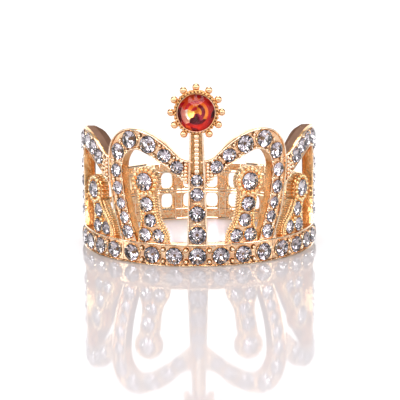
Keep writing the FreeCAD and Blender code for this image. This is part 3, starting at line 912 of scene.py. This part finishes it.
def crest_cup():
    """Setting cup: a rolled lip, and three rings of small beads round its wall."""
    cup = Shell()
    r, d = CUP_RADIUS, CUP_DEPTH
    profile = [
        (0.2, 0.0), (r - 0.25, 0.0), (r - 0.05, 0.12), (r, 0.35), (r, d - 1.0), (r - 0.1, d - 0.75),
        (r - 0.26, d - 0.6), (r - 0.28, d - 0.15), (r - 0.34, d - 0.02), (r - 0.42, d),
        (r - 0.5, d - 0.08), (r - 0.54, d - 0.22), (r - 0.55, d - 0.5), (r - 0.6, 0.6), (0.2, 0.6),
    ]
    shut(cup, profile, CREST_PLACE, CUP_SIDES, CUP_KINDS)
    # Rings: (radius, height, radius of a bead, share of a step that the ring is turned).
    rings = [(r - 0.08, d - 0.55, 0.34, 0.0), (r + 0.22, d - 1.1, 0.34, 0.5), (r + 0.1, d - 1.7, 0.3, 0.0)]
    # The beads get the flank kind, which the cup's finish paints as shade.
    for k in range(CUP_BEADS):
        for radius, level, size, shift in rings:
            turn = 2 * math.pi * (k + shift) / CUP_BEADS
            spot = (radius * math.cos(turn), radius * math.sin(turn), level)
            add_ball(cup, spot, size, GRANULE, 1.0, CREST_PLACE, FLANK)
    cup.piece("crest_cup_casting", ["crest_cup"], SHADED_FLANKS)


def crest_balls():
    """Polished balls on short stems round the cup, with a gap left for the post."""
    balls = Shell()
    origin, axes = CREST_PLACE
    middle = CUP_DEPTH / 2
    for k in range(1, 12):
        turn = math.radians(BALL_STEP * k - 90.0)
        out = np.array([math.cos(turn), math.sin(turn)])
        add_ball(balls, (*(out * BALL_CIRCLE), middle), BALL_RADIUS, BALL, 1.0, CREST_PLACE, FLANK)
        stem_axes = np.array([[0.0, 0.0, 1.0], [out[1], -out[0], 0.0], [out[0], out[1], 0.0]])
        start = np.array([out[0] * (CUP_RADIUS - 0.1), out[1] * (CUP_RADIUS - 0.1), middle])
        stem = (start @ axes + origin, stem_axes @ axes)
        shut(balls, [(0.62, 0.0), (0.44, 0.22), (0.38, 0.5), (0.4, 0.9)], stem, 20, PLAIN)
    balls.piece("crest_beads_casting", ["crest_beads"], BALL_CASTING)


# Foils of the crystal's four inner rings of facets, from the outside in, in sectors that run
# anticlockwise from the right: (where the sector ends, foils). The outermost ring is mixed by chance.
# Cream and amber on the left are a painted highlight; wine, at the bottom and in dark arcs, is painted
# shade.
CRYSTAL_SECTORS = [
    (60.0, (RED, ORANGE, WINE_SHADE, ORANGE)), (150.0, (ORANGE, RED, ORANGE, RED)),
    (225.0, (CREAM_HIGHLIGHT, CREAM_HIGHLIGHT, AMBER_HIGHLIGHT, AMBER_HIGHLIGHT)), (250.0, (RED, WINE_SHADE, WINE_SHADE, RED)),
    (305.0, (RED, WINE_SHADE, WINE_SHADE, WINE_SHADE)), (360.0, (RED, ORANGE, WINE_SHADE, ORANGE)),
]
CRYSTAL_SIDES = 16
CULET = (0.35, 0.72)
CRYSTAL_GIRDLE = 0.16


def crystal_foil(turn, ring):
    """Which foil backs a facet of the crest's crystal."""
    if ring == 0:
        return int(rng.choice((RED, RED, WINE_SHADE, ORANGE)))
    for end, foils in CRYSTAL_SECTORS:
        if turn < end:
            return foils[ring - 1]


def crest_crystal():
    """Pointed round crystal: glass facets in front, coloured foil behind each lower facet."""
    shell = Shell()
    sides = CRYSTAL_SIDES
    seat = CUP_DEPTH - 0.3
    low_radius, low_height = CULET
    shares = np.linspace(0.0, 1.0, 6)[1:-1]
    wider = CRYSTAL_RADIUS - 0.37
    taller = seat - CRYSTAL_GIRDLE - low_height
    rings = [CULET]
    rings += [(low_radius + wider * share, low_height + taller * share) for share in shares]
    rings += [(CRYSTAL_RADIUS - 0.02, seat - CRYSTAL_GIRDLE), (CRYSTAL_RADIUS, seat)]
    backed = len(rings) - 2
    rings += [(3.05, seat + 0.5), (1.75, seat + 0.9), (0.22, seat + 1.16)]
    for level, (radius, height) in enumerate(rings):
        turns = ((level % 2) / 2 + np.arange(sides)) * 2 * math.pi / sides
        points = np.stack([radius * np.cos(turns), radius * np.sin(turns), np.full(sides, height)], -1)
        shell.add(to_world(points, CREST_PLACE), np.zeros((0, 3), int))
    for level in range(len(rings) - 1):
        for k in range(sides):
            low, high = level * sides, (level + 1) * sides
            after = (k + 1) % sides
            turn = (k + 0.5) * 360.0 / sides
            kind = crystal_foil(turn, backed - 1 - level) if level < backed else GLASS
            if level % 2:
                shell.add_polygon([low + k, high + after, high + k], kind)
                shell.add_polygon([low + k, low + after, high + after], kind)
            else:
                shell.add_polygon([low + k, low + after, high + k], kind)
                shell.add_polygon([high + k, low + after, high + after], kind)
    shell.add_polygon(list(range(sides))[::-1], ORANGE)
    shell.add_polygon([(len(rings) - 1) * sides + k for k in range(sides)], GLASS)
    shell.piece("crest_crystal_cut", ["crest_crystal"], CUT_CRYSTAL, 0)


# Rear lattice --------

LATTICE_REACH = LATTICE_COLUMNS // 2
LATTICE_START = 180.0 - LATTICE_REACH * LATTICE_PITCH
LATTICE_END = 180.0 + LATTICE_REACH * LATTICE_PITCH
# Shares of the way from a window's edge to the border of its cell.
WINDOW_RINGS = (0.0, 0.02, 0.07, 0.15, 0.26, 0.4, 0.55, 0.72, 0.88, 1.0)
WINDOW_SIDES = 48
WINDOW_POWER = 0.58
WINDOW_ROUNDING = 0.75
ROUNDING_REACH = 0.9
# Cords along the inner face: (height, radius).
CORDS = [(0.35, 0.28), (2.75, 0.2), (7.0, 0.2), (7.7, 0.2), (12.35, 0.2), (14.5, 0.3)]
CORD_STEPS = 160
CORD_SIDES = 8
RIB_AWAY = 1.7
PRONG_AWAY = 0.18


def window_cell(shell, middle, row, stones):
    """One window and the metal round it, rounded on both faces and open at the cell's border."""
    low, window_low, window_high, high = row
    turns = np.arange(WINDOW_SIDES) * 2 * math.pi / WINDOW_SIDES
    c, s = np.cos(turns), np.sin(turns)
    shape = np.stack([np.sign(c) * np.abs(c) ** WINDOW_POWER, np.sign(s) * np.abs(s) ** WINDOW_POWER], -1)
    centre = (window_low + window_high) / 2
    half = np.array([WINDOW_WIDTH / 2, (window_high - window_low) / 2])
    window = shape * half + np.array([0.0, centre])
    reach = math.radians(LATTICE_PITCH / 2) * WALL
    stretch = 1.0 / np.maximum(np.abs(c), np.abs(s))
    rise = np.where(s > 0, high - centre, centre - low)
    border = np.stack([c * stretch * reach, centre + s * stretch * rise], -1)
    outer, inner = [], []
    for share in WINDOW_RINGS:
        place = window + (border - window) * share
        away = np.minimum(share * np.linalg.norm(border - window, axis=1), ROUNDING_REACH) / ROUNDING_REACH
        curve = np.sqrt(np.clip(1.0 - (1.0 - away) ** 2, 0.0, 1.0))
        rounded = WINDOW_ROUNDING * (1.0 - curve)
        angles = middle + np.degrees(place[:, 0] / WALL)
        sunk = pocket(angles, place[:, 1], stones)
        outer.append(on_wall(angles, place[:, 1], WALL - rounded - sunk))
        inner.append(on_wall(angles, place[:, 1], LATTICE_BACK + rounded))
    order = outer[::-1] + inner
    shell.add(np.stack(order), grid_faces(len(order), WINDOW_SIDES, True))


def add_cord(shell, level, size):
    """Thin wire along the lattice's inner face, from end to end."""
    angles = np.linspace(LATTICE_START, LATTICE_END, CORD_STEPS)[:, None]
    turns = np.arange(CORD_SIDES) * 2 * math.pi / CORD_SIDES
    heights = level + size * np.sin(turns) + 0 * angles
    radii = LATTICE_BACK + 0.1 + size * np.cos(turns) + 0 * angles
    first = shell.count
    faces = grid_faces(CORD_STEPS, CORD_SIDES, True)[:, ::-1]
    shell.add(on_wall(angles + 0 * turns, heights, radii), faces, RAISED)
    shell.add_polygon([first + k for k in range(CORD_SIDES)])
    last = first + (CORD_STEPS - 1) * CORD_SIDES
    shell.add_polygon([last + k for k in range(CORD_SIDES)][::-1])


def add_rib(shell, angle, low, high, radius, size):
    """Straight upright wire on the wall."""
    turn = math.radians(angle)
    axes = np.array([
        [math.cos(turn), math.sin(turn), 0.0], [-math.sin(turn), math.cos(turn), 0.0], [0.0, 0.0, 1.0],
    ])
    tall = high - low
    profile = [(0.5 * size, 0.0), (size, 0.12), (size, tall - 0.12), (0.5 * size, tall)]
    shut(shell, profile, (on_wall(angle, low, radius), axes), 10, RAISED)


def lattice_prongs(stones):
    """Four small balls at the corners of each stone."""
    prongs = []
    for angle, height, diameter in stones:
        away = diameter / 2 + PRONG_AWAY
        for k in range(4):
            turn = math.pi / 4 + k * math.pi / 2
            side = math.degrees(away * math.cos(turn) / WALL)
            prongs.append((angle + side, height + away * math.sin(turn), 0.3))
    return prongs


def rear_lattice():
    """Pierced band with two rows of windows, stones at the crossings outside, cords and ribs inside."""
    shell = Shell()
    crossings = [180.0 + k * LATTICE_PITCH for k in range(-LATTICE_REACH + 1, LATTICE_REACH)]
    stones = [(angle, height, LATTICE_STONE) for angle in crossings for height in LATTICE_STONE_HEIGHTS]
    for k in range(LATTICE_COLUMNS):
        middle = 180.0 + (k - (LATTICE_COLUMNS - 1) / 2) * LATTICE_PITCH
        near = [stone for stone in stones if abs(stone[0] - middle) < LATTICE_PITCH]
        for row in LATTICE_ROWS:
            window_cell(shell, middle, row, near)
    angles = np.linspace(LATTICE_START, LATTICE_END, 200)
    for level, order in ((0.0, 1), (LATTICE_HEIGHT, -1)):
        edges = np.stack([on_wall(angles, level, radius + 0 * angles) for radius in (WALL, LATTICE_BACK)])
        shell.add(edges, grid_faces(2, 200)[:, ::order])
    add_collars(shell, stones, 1)
    for level, size in CORDS:
        add_cord(shell, level, size)
    for angle in crossings:
        for away in (-RIB_AWAY, RIB_AWAY):
            add_rib(shell, angle + away, CORDS[0][0], CORDS[-1][0], LATTICE_BACK + 0.08, 0.2)
    add_granules(shell, lattice_prongs(stones), 1, rise=-0.05)
    shell.piece("rear_lattice_casting", ["rear_lattice_band"], LATTICE_CASTING)
    stone_piece("rear_lattice_stones", stones)


# Stage --------

# The camera: how far it stands from the origin, in which direction, and where it aims.
DISTANCE = 0.432
ELEVATION = math.radians(12.68)
AZIMUTH = math.radians(0.87)
ROLL = math.radians(0.55)
LENS = 163.04
AIM = Vector((0.00026, 0.0, 0.0099))

FLOOR_REACH = 6.0
MIDDLE = (0.0, 0.0, 0.015)
# Brightness of the studio by height, from level (0) to straight up (1).
STUDIO_STOPS = [
    (0.0, (1.15, 1.15, 1.15)), (0.22, (1.15, 1.15, 1.15)), (0.32, (0.16, 0.16, 0.17)),
    (0.6, (0.16, 0.16, 0.17)), (0.9, (0.4, 0.4, 0.4)),
]


def camera():
    """Long lens, a little above the crown and a little to the right of its middle."""
    level = math.cos(ELEVATION)
    back = Vector((math.sin(AZIMUTH) * level, -math.cos(AZIMUTH) * level, math.sin(ELEVATION)))
    place = back * DISTANCE
    data = bpy.data.cameras.new("camera")
    data.lens = LENS
    data.sensor_width = 36.0
    data.clip_start = 0.01
    data.clip_end = 20.0
    obj = new_object("camera", data)
    obj.location = place
    obj.rotation_mode = "QUATERNION"
    look = (AIM - place).to_track_quat("-Z", "Y")
    obj.rotation_quaternion = look @ Quaternion((0.0, 0.0, 1.0), -ROLL)
    bpy.context.scene.camera = obj


def softbox(name, place, aim, width, height, radiance, colour=(1.0, 1.0, 1.0), spread_angle=180.0):
    """Rectangular lamp of an even radiance, which the camera doesn't see."""
    data = bpy.data.lights.new(name, "AREA")
    data.color = colour
    data.spread = math.radians(spread_angle)
    data.shape = "RECTANGLE"
    data.size = width
    data.size_y = height
    data.energy = radiance * math.pi * width * height
    obj = new_object(name, data)
    obj.location = place
    obj.rotation_mode = "QUATERNION"
    obj.rotation_quaternion = (Vector(aim) - Vector(place)).to_track_quat("-Z", "Y")
    obj.visible_camera = False


def zone(tree, where, colour, toward, full, none, shade):
    """Another shade round one direction: full inside one angle and fading out by the other, in degrees."""
    along = tree.nodes.new("ShaderNodeVectorMath")
    along.operation = "DOT_PRODUCT"
    along.inputs[1].default_value = Vector(toward).normalized()
    tree.links.new(where, along.inputs[0])
    share = tree.nodes.new("ShaderNodeMapRange")
    share.interpolation_type = "SMOOTHSTEP"
    share.inputs["From Min"].default_value = math.cos(math.radians(none))
    share.inputs["From Max"].default_value = math.cos(math.radians(full))
    tree.links.new(along.outputs["Value"], share.inputs["Value"])
    mix = tree.nodes.new("ShaderNodeMix")
    mix.data_type = "RGBA"
    tree.links.new(share.outputs["Result"], mix.inputs["Factor"])
    tree.links.new(colour, mix.inputs["A"])
    mix.inputs["B"].default_value = (*shade, 1.0)
    return mix.outputs["Result"]


def add_floor():
    """Wide glossy floor, which isn't part of the crown."""
    mesh = bpy.data.meshes.new("floor")
    corners = [(x * FLOOR_REACH, y * FLOOR_REACH, 0) for x, y in ((-1, -1), (1, -1), (1, 1), (-1, 1))]
    mesh.from_pydata(corners, [], [(0, 1, 2, 3)])
    mesh.materials.append(floor_gloss())
    floor = new_object("floor", mesh)


def studio():
    """Surroundings that the metal and the stones mirror."""
    world = bpy.data.worlds.new("studio")
    bpy.context.scene.world = world
    world.use_nodes = True
    tree = world.node_tree
    where = tree.nodes.new("ShaderNodeTexCoord").outputs["Generated"]
    parts = tree.nodes.new("ShaderNodeSeparateXYZ")
    tree.links.new(where, parts.inputs["Vector"])
    colour = ramp(tree, parts.outputs["Z"], STUDIO_STOPS)
    colour = zone(tree, where, colour, (0.0, 1.0, 0.25), 20.0, 34.0, (1.8, 1.8, 1.8))
    colour = zone(tree, where, colour, (0.0, -1.0, 0.24), 11.0, 19.0, (0.04, 0.04, 0.04))
    tree.links.new(colour, tree.nodes["Background"].inputs["Color"])


def lamps():
    """Soft lamps round the crown, and a narrow one that lights the floor inside it."""
    softbox("top", (0.0, 0.05, 0.8), MIDDLE, 0.5, 0.36, 5.5)
    softbox("key", (-0.50, -0.45, 0.50), MIDDLE, 0.22, 0.22, 10.0)
    softbox("fill", (0.55, -0.35, 0.40), MIDDLE, 0.18, 0.22, 9.0)
    softbox("front_high", (0.04, -0.66, 0.44), MIDDLE, 0.6, 0.24, 5.0)
    softbox("inside", (0.0, 0.02, 0.5), (0.0, 0.002, 0.0), 0.02, 0.02, 3.6, (0.90, 0.93, 1.0), 5.0)
    softbox("low_left", (-0.75, -0.15, 0.24), MIDDLE, 0.12, 0.3, 4.0)
    softbox("low_right", (0.72, -0.28, 0.22), MIDDLE, 0.12, 0.26, 4.0)


base_bands()
centre_post()
crest_cup()
crest_balls()
crest_crystal()
for side_name, side_sign in SIDES.items():
    side_pieces(side_name, side_sign)
rear_lattice()
add_floor()
studio()
lamps()
camera()
bpy.context.scene.view_settings.view_transform = "Standard"
